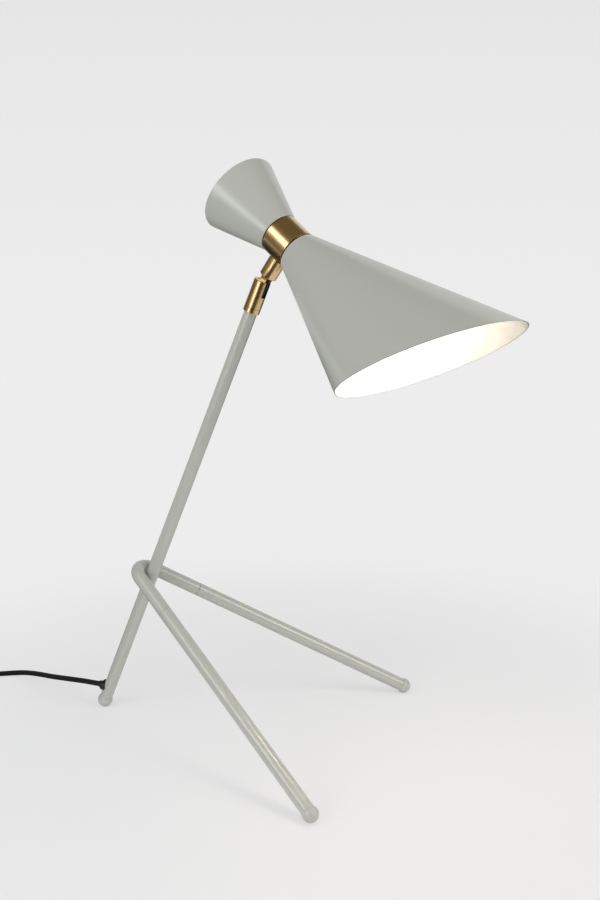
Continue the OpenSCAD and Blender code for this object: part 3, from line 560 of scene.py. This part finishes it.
def build_braid():
    """Two sets of strands crossing round a cord: UV u runs along it and v round it."""
    tree, given, out = effect(
        "braid",
        [("Along", "NodeSocketFloat", 1200.0), ("Round", "NodeSocketFloat", 8.0)],
        ["Mask", "Height"],
    )
    uv = put(tree, "ShaderNodeSeparateXYZ", {
        "Vector": put(tree, "ShaderNodeUVMap", uv_map="UVMap").outputs["UV"],
    })

    def wave(turns, round_share):
        return maths(tree, "SINE", maths(tree, "MULTIPLY", turns, round_share))

    along = maths(tree, "MULTIPLY", uv.outputs["X"], given["Along"])
    about = maths(tree, "MULTIPLY", uv.outputs["Y"], given["Round"])
    left = maths(tree, "ABSOLUTE", wave(maths(tree, "ADD", along, about), pi))
    right = maths(tree, "ABSOLUTE", wave(maths(tree, "SUBTRACT", along, about), pi))
    over = maths(tree, "GREATER_THAN", wave(along, tau), 0.0)
    weave = put(tree, "ShaderNodeMix", {
        "Factor": over, "A": left, "B": right,
    }, data_type="FLOAT").outputs["Result"]
    tree.links.new(weave, out.inputs["Height"])
    fuzz = put(tree, "ShaderNodeTexNoise", {
        "Vector": put(tree, "ShaderNodeTexCoord").outputs["Object"],
        "Scale": 2600.0, "Detail": 2.0,
    })
    tree.links.new(maths(tree, "MULTIPLY", weave, fuzz.outputs["Fac"]), out.inputs["Mask"])
    return tree


sprayed = build_sprayed()
brushed = build_brushed()
braid = build_braid()


def linear(red, green, blue):
    """Scene colour of a display colour given in 0 to 255."""
    def one(value):
        value /= 255
        return value / 12.92 if value <= 0.04045 else ((value + 0.055) / 1.055) ** 2.4
    return (one(red), one(green), one(blue), 1.0)


def finish(name, shades, roughness, effect_tree, effect_inputs, bump, sockets=None, place=None):
    """Principled material: an effect's mask blends two shades and two roughnesses."""
    material = bpy.data.materials.new(name)
    material.use_nodes = True
    tree = material.node_tree
    shader = tree.nodes["Principled BSDF"]
    pattern = put(tree, "ShaderNodeGroup", node_tree=effect_tree)
    for key, value in effect_inputs.items():
        pattern.inputs[key].default_value = value
    if place is not None:
        home = place.inverted()
        mapping = put(tree, "ShaderNodeMapping", {
            "Vector": put(tree, "ShaderNodeTexCoord").outputs["Object"],
            "Location": home.translation * 0.001,
            "Rotation": home.to_euler(),
        })
        tree.links.new(mapping.outputs[0], pattern.inputs["Vector"])
    colour = put(tree, "ShaderNodeMix", {
        "Factor": pattern.outputs["Mask"], "A": shades[0], "B": shades[1],
    }, data_type="RGBA")
    tree.links.new(colour.outputs["Result"], shader.inputs["Base Color"])
    rough = put(tree, "ShaderNodeMapRange", {
        "Value": pattern.outputs["Mask"], "To Min": roughness[0], "To Max": roughness[1],
    })
    tree.links.new(rough.outputs["Result"], shader.inputs["Roughness"])
    relief = put(tree, "ShaderNodeBump", {
        "Height": pattern.outputs["Height"], "Strength": bump[0], "Distance": bump[1],
    })
    tree.links.new(relief.outputs["Normal"], shader.inputs["Normal"])
    for key, value in (sockets or {}).items():
        shader.inputs[key].default_value = value
    return material


PAINT = (linear(182, 183, 175), linear(178, 179, 171))
BRASS = ((0.70, 0.46, 0.18, 1), (0.78, 0.53, 0.23, 1))


def brass(name, place):
    """Satin-brushed lacquered brass, its lines turned round the Z of a place."""
    return finish(
        name, BRASS, (0.25, 0.31), brushed, {"Lines": 2600.0}, (0.06, 0.00002),
        {"Metallic": 1.0, "Coat Weight": 1.0, "Coat Roughness": 0.24, "Coat IOR": 1.7}, place,
    )


paint = finish(
    "satin_paint", PAINT, (0.24, 0.29), sprayed, {"Grain": 1500.0, "Clouds": 12.0},
    (0.10, 0.00008), {"Specular IOR Level": 0.85},
)
white_paint = finish(
    "white_inside", (linear(246, 244, 238), linear(238, 236, 229)), (0.50, 0.58), sprayed,
    {"Grain": 1200.0, "Clouds": 20.0}, (0.10, 0.00008),
)
plastic = finish(
    "moulded_black", (linear(11, 11, 12), linear(17, 17, 18)), (0.34, 0.46), sprayed,
    {"Grain": 2200.0, "Clouds": 60.0}, (0.15, 0.00006),
)
rocker_plastic = finish(
    "rocker_black", (linear(12, 12, 13), linear(17, 17, 18)), (0.22, 0.30), sprayed,
    {"Grain": 2600.0, "Clouds": 60.0}, (0.10, 0.00004),
)
lead_skin = finish(
    "lead_sheath", (linear(12, 11, 10), linear(17, 16, 15)), (0.55, 0.65), sprayed,
    {"Grain": 1800.0, "Clouds": 120.0}, (0.12, 0.00005),
)
strap = finish(
    "strap_weave", (linear(16, 16, 17), linear(30, 30, 31)), (0.80, 0.92), sprayed,
    {"Grain": 3200.0, "Clouds": 300.0}, (0.5, 0.0002),
)
steel = finish(
    "zinc_steel", ((0.52, 0.53, 0.54, 1), (0.66, 0.67, 0.68, 1)), (0.26, 0.40), sprayed,
    {"Grain": 2400.0, "Clouds": 90.0}, (0.10, 0.00004), {"Metallic": 1.0},
)
textile = finish(
    "cord_braid", (linear(4, 4, 4), linear(19, 18, 18)), (0.72, 0.88), braid,
    {}, (0.8, 0.0003), {"Sheen Weight": 0.04, "Sheen Roughness": 0.5},
)
base_brass = brass("base_brass", stem_place)
fork_brass = brass("fork_brass", fork_place)
stub_brass = brass("stub_brass", stub_place)
collar_brass = brass("collar_brass", shade_place @ ALONG_X)
bulb_skin = finish(
    "opal_bulb", ((0.93, 0.90, 0.84, 1), (0.97, 0.95, 0.90, 1)), (0.30, 0.36), sprayed,
    {"Grain": 900.0, "Clouds": 30.0}, (0.04, 0.00005),
    {"Emission Color": (1.0, 0.82, 0.72, 1), "Emission Strength": 34.0},
)

# ---- The lamp's pieces ----


def wear(thing, *materials):
    """Give an object these materials and no others."""
    thing.data.materials.clear()
    for material in materials:
        thing.data.materials.append(material)


def fit(piece, body, slot, materials, *nodes):
    """Give a piece its materials and its body, and hide the CAD nodes it stands for. The slot is
    not used.
    """
    wear(piece, *materials)
    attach(piece, body)
    if nodes:
        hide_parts(*nodes)
    return piece


def fit_dressed(node, body, slot, material, edge, sharp=35):
    """A CAD node's copy with broken edges, in the node's place."""
    return fit(dressed(node, edge, sharp), body, slot, [material], node)


# Stand: each leg starts a little below the bend's end, so that the joint shows a dark line
seat = seat_of(STEM_D)
leg_seat = seat_of(LEG_D)
leg_start = joint_at + JOINT_GAP
stem = lathe("stem", [
    (STEM_D / 2, seat, TUBE_EDGE), (STEM_D / 2, STEM_REACH, 0.35),
    (STEM_BORE / 2, STEM_REACH, 0), (STEM_BORE / 2, seat, 0),
], stem_place, TUBE_SIDES)
fit(stem, "stand", "paint", [paint], "stem_tube")
fit(ball_foot("rear_ball", STEM_D, STEM_BORE, REAR_SPIGOT, stem_place),
    "stand", "paint", [paint], "rear_foot")
fit(bent_tube("bend"), "stand", "paint", [paint], "bend_tube")
for side, word in ((1, "left"), (-1, "right")):
    leg = lathe(word + "_leg", [
        (LEG_D / 2, leg_start, JOINT_EDGE), (LEG_D / 2, leg_len - leg_seat, TUBE_EDGE),
        (LEG_BORE / 2, leg_len - leg_seat, 0), (LEG_BORE / 2, leg_start, 0),
    ], leg_place(side, 0), TUBE_SIDES)
    fit(leg, "stand", "paint", [paint], word + "_leg_tube")
    place = leg_place(side, leg_len) @ turn(pi, "X")
    fit(ball_foot(word + "_ball", LEG_D, LEG_BORE, SPIGOT, place),
        "stand", "paint", [paint], word + "_foot")

for node, edge in (("bend_plug", 0.1), ("bend_spacer", 0.2)):
    fit_dressed(node, "stand", "paint", paint, edge)
fit_dressed("cord_gland", "stand", "black_plastic", plastic, 0.35)

# Knuckle
fit_dressed("knuckle_base", "stand", "brass", base_brass, 0.2)
fit_dressed("knuckle_fork", "fork", "brass", fork_brass, 0.2)
fit_dressed("knuckle_stub", "head", "brass", stub_brass, 0.25)
fit_dressed("pivot_screw", "fork", "brass", fork_brass, 0.12)
fit_dressed("swivel_screw", "fork", "steel", steel, 0.08)
fit_dressed("pivot_washers", "fork", "black_plastic", plastic, 0.08)

lead_points = [
    fork_place @ Vector(p) for p in ((0, 0, -10.3), (2.3, 0, -7.8), (4.4, 0, -5.4), (5, 0, -2.2))
] + [stub_place @ Vector(p) for p in ((4.7, 0, 4.2), (4.5, 0, 7.4))]
lead_line, _ = even_path(lead_points, LEAD_STEP)
lead = tube_along("knuckle_lead", lead_line, LEAD_D / 1000, 16)
wear(lead, lead_skin)
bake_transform(lead)
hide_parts("fork_lead")

# Shade
half = COLLAR_LEN / 2
front_floor = half + RING_T
collar_r = COLLAR_D / 2
bore_r = collar_r - COLLAR_WALL
band = half - COLLAR_SEAM
collar = lathe("collar_band", [
    (collar_r, -band, 0.18), (collar_r, band, 0.18), (bore_r, band, 0.15), (bore_r, -band, 0.15),
], shade_place @ ALONG_X, 192)
fit(collar, "head", "brass", [collar_brass], "collar")
for word, along in (("front", ALONG_X), ("rear", ALONG_BACK)):
    ring = lathe(word + "_seal", [
        (collar_r - 0.6, half, 0.1), (collar_r - 0.6, half + RING_T, 0.1),
        (TIE_D / 2 + SEAT_GAP, half + RING_T, 0), (TIE_D / 2 + SEAT_GAP, half - 2, 0),
        (bore_r - SEAT_GAP, half - 2, 0.2), (bore_r - SEAT_GAP, half, 0),
    ], shade_place @ along, 128)
    fit(ring, "head", "black_plastic", [plastic], word + "_ring")

front_r = collar_r + RING_T * tan(FRONT_ANGLE)
front = cone(
    "front_shade", front_floor, front_r, FRONT_ANGLE, FRONT_UNCUT,
    shade_place @ ALONG_X @ shift(z=front_floor), mouth=(MOUTH_AT, MOUTH_SLANT),
)
fit(front, "head", "paint", [paint, white_paint], "front_cone")
rear_r = collar_r + RING_T * tan(REAR_ANGLE)
rear = cone(
    "rear_shade", front_floor, rear_r, REAR_ANGLE, (REAR_D / 2 - rear_r) / tan(REAR_ANGLE),
    shade_place @ ALONG_BACK @ shift(z=front_floor),
)
fit(rear, "head", "paint", [paint, white_paint], "rear_cone")

nut = lathe("rear_cap_nut", [
    (TIE_D / 2 + SEAT_GAP, 0, 0), (10, 0, 0.2), (10, 2, 0.6), (7, 2, 0.25), (7, 9, 1.6),
    (4.5, 11, 1.2), (0, 11, 0), (0, 7.5, 0), (TIE_D / 2 + SEAT_GAP, 7.5, 0),
], shade_place @ ALONG_BACK @ shift(z=front_floor + SHEET), 96)
fit(nut, "head", "brass", [collar_brass], "rear_nut")

# Lampholder and bulb
cap_start = front_floor + SHEET + NUT_T
holder_start = cap_start + CAP_LEN
cap = lathe("holder_dome", [
    (TIE_D / 2 + SEAT_GAP, 0, 0), (10, 0, 0.5), (11, 1, 0.4), (11, 5, 2), (17.5, 11, 2),
    (HOLDER_D / 2, 13, 1), (HOLDER_D / 2, CAP_LEN, 0.3), (HOLDER_D / 2 - 2.2, CAP_LEN, 0),
    (HOLDER_D / 2 - 2.2, 13, 0), (9, 7.5, 0), (TIE_D / 2 + SEAT_GAP, 7.5, 0),
], shade_place @ ALONG_X @ shift(z=cap_start))
fit(cap, "head", "black_plastic", [plastic], "holder_cap")
skirt_r = HOLDER_D / 2
thread_r = THREAD_D / 2 + 0.4 + SEAT_GAP
skirt = lathe("holder_skirt", [
    (3.2, 0, 0), (skirt_r, 0, 0.3), (skirt_r, 4, 0.3), (skirt_r - 0.8, 5, 0.3),
    (skirt_r - 0.8, HOLDER_LEN - 1, 0.5), (skirt_r - 1.8, HOLDER_LEN, 0.5),
    (thread_r, HOLDER_LEN, 0.3), (thread_r, 3, 0), (3.2, 3, 0),
], shade_place @ ALONG_X @ shift(z=holder_start))
fit(skirt, "head", "black_plastic", [plastic], "holder_body")

base_start = holder_start + 5
thread = [(0, 0, 0), (4.5, 0, 0.3), (4.5, 1.5, 0), (SCREW_CAP_D / 2 - 1.4, 4.4, 0.4)]
for ridge in range(5):
    up = 6 + THREAD_PITCH * ridge
    groove = up + THREAD_PITCH / 2
    thread += [(SCREW_CAP_D / 2, up, 0.7), (SCREW_CAP_D / 2 - 1.1, groove, 0.7)]
thread += [(SCREW_CAP_D / 2 - 0.3, THREAD_LEN, 0.3), (0, THREAD_LEN, 0)]
fit(lathe("bulb_thread", thread, shade_place @ ALONG_X @ shift(z=base_start)),
    "head", "steel", [steel], "bulb_base")


def globe(name, neck_end, place):
    """Glass ball with a neck that narrows to the bulb's cap."""
    radius = GLOBE_D / 2
    middle = BULB_LEN - radius
    neck_at = middle - 0.26 * GLOBE_D
    form = bmesh.new()
    bmesh.ops.create_uvsphere(form, u_segments=64, v_segments=48, radius=radius)
    bmesh.ops.translate(form, verts=form.verts, vec=(0, 0, middle))
    rim = cut_by(form, (0, 0, neck_at), (0, 0, -1))
    neck, _ = grow_rim(form, rim)
    slim = (SCREW_CAP_D / 2 + 0.6) / sqrt(radius ** 2 - (middle - neck_at) ** 2)
    bmesh.ops.scale(form, verts=neck, vec=(slim, slim, 1))
    bmesh.ops.translate(form, verts=neck, vec=(0, 0, neck_end - neck_at))
    bmesh.ops.holes_fill(form, edges=form.edges, sides=0)
    bmesh.ops.recalc_face_normals(form, faces=form.faces)
    form.transform(place)
    return new_piece(name, form)


bulb = globe("bulb_glass", THREAD_LEN, shade_place @ ALONG_X @ shift(z=base_start))
fit(bulb, "head", "bulb_glass", [bulb_skin], "bulb_globe")

# ---- Cord, switch and plug ----

for node, edge in (("switch_base", 0.8), ("switch_cover", 0.5)):
    fit_dressed(node, "stand", "black_plastic", plastic, edge)
fit_dressed("switch_screws", "stand", "steel", steel, 0.15)
fit_dressed("rocker", "rocker", "black_plastic", rocker_plastic, 0.5)
fit_dressed("plug_body", "stand", "black_plastic", plastic, 0.6)
fit_dressed("plug_pins", "stand", "steel", steel, 0.3)
fit_dressed("cord_tie", "stand", "textile", strap, 0.3)

route, route_length = even_path(cord_route(), ROUTE_STEP)
cord = tube_along("mains_cord", route, cord_d, 16)


RIB_COUNT = 7
RELIEF_POINTS = 8
SWITCH_LEN = 0.060


def ribs(share):
    """Width of a strain relief against its cord's, from its thin end to its housing."""
    ring = 0.10 if share * RIB_COUNT % 1 < 0.5 and share < 0.97 else 0.0
    return 1.07 + 0.28 * share ** 2 + ring


near_end = next(i for i, p in enumerate(route) if p.x < SWITCH_AT.x)
far_end = next(i for i, p in enumerate(route) if p.x < SWITCH_AT.x - SWITCH_LEN)
reliefs = {
    "switch_inlet_relief": route[near_end - RELIEF_POINTS:near_end + 1],
    "switch_outlet_relief": route[far_end + RELIEF_POINTS - 1:far_end - 2:-1],
    "plug_relief": route[-RELIEF_POINTS - 1:],
}
for name, stretch in reliefs.items():
    fine, _ = even_path(stretch, RELIEF_STEP)
    fit(tube_along(name, fine, cord_d, 24, ribs), "stand", "black_plastic", [plastic])
fit(cord, "stand", "textile", [textile], "cord_lead", "cord_tail", "cord_coil", "plug_lead")

# ---- CAD nodes that stay, with their finishes ----

STAYING = {
    steel: [
        "leg_studs", "bend_screw", "saddle_washer", "stem_insert", "tie_tube", "front_nut",
        "rocker_pin",
    ],
    lead_skin: ["stem_lead", "head_lead"],
    collar_brass: ["stub_nut", "holder_thread", "holder_contact"],
}
for material, names in STAYING.items():
    for name in names:
        wear(frame["nodes"][name], material)

# ---- Floor, lights and backdrop ----

PALE = linear(234, 234, 234)
# Colours of the painted dark reflections of the room and of the floor further out
DIM_REFLECTION = (0.125, 0.105, 0.062, 1)
DARK_REFLECTION = (0.012, 0.009, 0.006, 1)
LIT_FLOOR = (0.82, 0.82, 0.82, 1)
LIT_REACH = 0.20
PALE_REACH = 0.62
FRONT = Vector((0.48, -0.85, 0.20)).normalized()
FRONT_LIGHT = 0.71
BACK_LIGHT = 0.37


def blend_shaders(tree, share, a, b):
    return put(tree, "ShaderNodeMixShader", {0: share, 1: a, 2: b}).outputs[0]


def seen_directly(tree):
    """1 for what the camera sees, also in metal and through glass."""
    ray = put(tree, "ShaderNodeLightPath").outputs
    seen = maths(tree, "MAXIMUM", ray["Is Camera Ray"], ray["Is Glossy Ray"])
    return maths(tree, "MAXIMUM", seen, ray["Is Transmission Ray"])


# Near the lamp the floor is part lit and keeps the shadow. Further out it takes the
# backdrop's tone.
form = bmesh.new()
bmesh.ops.create_grid(form, x_segments=1, y_segments=1, size=30)
ground = new_piece("floor", form)
floor_skin = bpy.data.materials.new("pale_floor")
floor_skin.use_nodes = True
tree = floor_skin.node_tree
shader = tree.nodes["Principled BSDF"]
shader.inputs["Base Color"].default_value = LIT_FLOOR
shader.inputs["Roughness"].default_value = 0.7
shader.inputs["Specular IOR Level"].default_value = 0.2
spot = put(tree, "ShaderNodeTexCoord").outputs["Object"]
reach = put(tree, "ShaderNodeVectorMath", {0: spot}, operation="LENGTH").outputs["Value"]
beyond = put(tree, "ShaderNodeMapRange", {
    "Value": reach, "From Min": LIT_REACH, "From Max": PALE_REACH,
    "To Min": 0.60, "To Max": 1.0,
}, interpolation_type="SMOOTHSTEP").outputs["Result"]
fading = put(tree, "ShaderNodeMapRange", {
    "Value": reach, "From Min": 1.6, "From Max": 14.0, "To Min": 1.03, "To Max": 1.0,
}).outputs["Result"]
glow = put(tree, "ShaderNodeEmission", {"Color": PALE, "Strength": fading}).outputs[0]
surface = blend_shaders(
    tree, maths(tree, "MULTIPLY", beyond, seen_directly(tree)), shader.outputs["BSDF"], glow
)
tree.links.new(surface, tree.nodes["Material Output"].inputs["Surface"])
wear(ground, floor_skin)

# The world lights softly, most from the front. What is seen of it is the pale backdrop.
world = bpy.data.worlds.new("studio")
scene.world = world
world.use_nodes = True
tree = world.node_tree
direction = put(tree, "ShaderNodeTexCoord").outputs["Generated"]
towards = put(
    tree, "ShaderNodeVectorMath", {0: direction, 1: FRONT}, operation="DOT_PRODUCT"
).outputs["Value"]
strength = put(tree, "ShaderNodeMapRange", {
    "Value": towards, "From Min": -1.0, "From Max": 1.0,
    "To Min": BACK_LIGHT, "To Max": FRONT_LIGHT,
}).outputs["Result"]
ambient = tree.nodes["Background"]
ambient.inputs["Color"].default_value = (1, 1, 1, 1)
tree.links.new(strength, ambient.inputs["Strength"])
height = put(tree, "ShaderNodeSeparateXYZ", {0: direction}).outputs["Z"]
fading = put(tree, "ShaderNodeMapRange", {
    "Value": height, "From Min": 0.0, "From Max": 0.11, "To Min": 1.0, "To Max": 0.965,
}).outputs["Result"]
backdrop = put(tree, "ShaderNodeBackground", {"Color": PALE, "Strength": fading}).outputs[0]
surface = blend_shaders(tree, seen_directly(tree), ambient.outputs[0], backdrop)
tree.links.new(surface, tree.nodes["World Output"].inputs["Surface"])


def reflection_screen(name, form, colour):
    """Dark screen that only reflections show: a painted dark reflection of the studio, for
    contrast in the brass.
    """
    screen = new_piece(name, form)
    skin = bpy.data.materials.new(name + "_cloth")
    skin.use_nodes = True
    tree = skin.node_tree
    dark_reflection = put(tree, "ShaderNodeEmission", {"Color": colour, "Strength": 1.0}).outputs[0]
    tree.links.new(dark_reflection, tree.nodes["Material Output"].inputs["Surface"])
    wear(screen, skin)
    screen.visible_camera = False
    screen.visible_diffuse = False
    screen.visible_transmission = False
    screen.visible_shadow = False


# A tall round screen that only reflections show, a painted dark reflection of the room, open
# behind the lamp where the backdrop shows
SCREEN_LIFT = 0.002
form = bmesh.new()
bmesh.ops.create_uvsphere(form, u_segments=48, v_segments=24, radius=2.4)
cut_by(form, (0, 0, SCREEN_LIFT), (0, 0, -1))
cut_by(form, (-0.22, 1.48, 0), (-0.15, 0.99, 0))
reflection_screen("room_reflection_screen", form, DIM_REFLECTION)

# A dark ring round the white table that only reflections show: a painted dark reflection of the
# floor further out
form = bmesh.new()
bmesh.ops.create_circle(form, segments=64, radius=0.50)
inner = form.verts[:]
outer, _ = grow_rim(form, form.edges[:])
bmesh.ops.scale(form, verts=outer, vec=(4.1, 4.1, 1))
bmesh.ops.translate(form, verts=outer, vec=(0.30, -0.30, SCREEN_LIFT))
bmesh.ops.translate(form, verts=inner, vec=(0.25, 0.05, SCREEN_LIFT))
reflection_screen("floor_reflection_screen", form, DARK_REFLECTION)

# Two cool strips in one bent line for the key, and a wide white fill from the right
LAMP_HEAD = Vector((0, 0, 0.44))
COOL = (0.92, 0.96, 1.0)
WHITE = (1, 1, 1)
STRIP_WIDTH = 0.38


def bearing(direction, climb, distance):
    """Point at a bearing and an elevation, in degrees, from the lamp's head."""
    flat = distance * cos(radians(climb))
    return LAMP_HEAD + Vector((
        flat * cos(radians(direction)), flat * sin(radians(direction)),
        distance * sin(radians(climb)),
    ))


def strip(name, low, high, width, power, colour):
    """Area light that runs from one point to another and faces the lamp's head."""
    light = bpy.data.lights.new(name, "AREA")
    light.shape = "RECTANGLE"
    light.size = width
    light.size_y = (high - low).length
    light.energy = power
    light.color = colour
    lamp = bpy.data.objects.new(name, light)
    middle = (low + high) / 2
    up = (high - low).normalized()
    back = middle - LAMP_HEAD
    back = (back - back.dot(up) * up).normalized()
    lamp.matrix_world = Matrix.Translation(middle) @ Matrix(
        (up.cross(back), up, back)
    ).transposed().to_4x4()
    scene.collection.objects.link(lamp)


key_bend = bearing(-115, 2, 1.28)
strip("key", key_bend, bearing(-139, 38, 1.35), STRIP_WIDTH, 4.6, COOL)
strip("low_key", bearing(-103, -16, 1.25), key_bend, STRIP_WIDTH, 1.6, COOL)
strip("fill", Vector((1.7, -0.25, 0.75)), Vector((1.5, -0.2, 1.5)), 0.9, 10.0, WHITE)
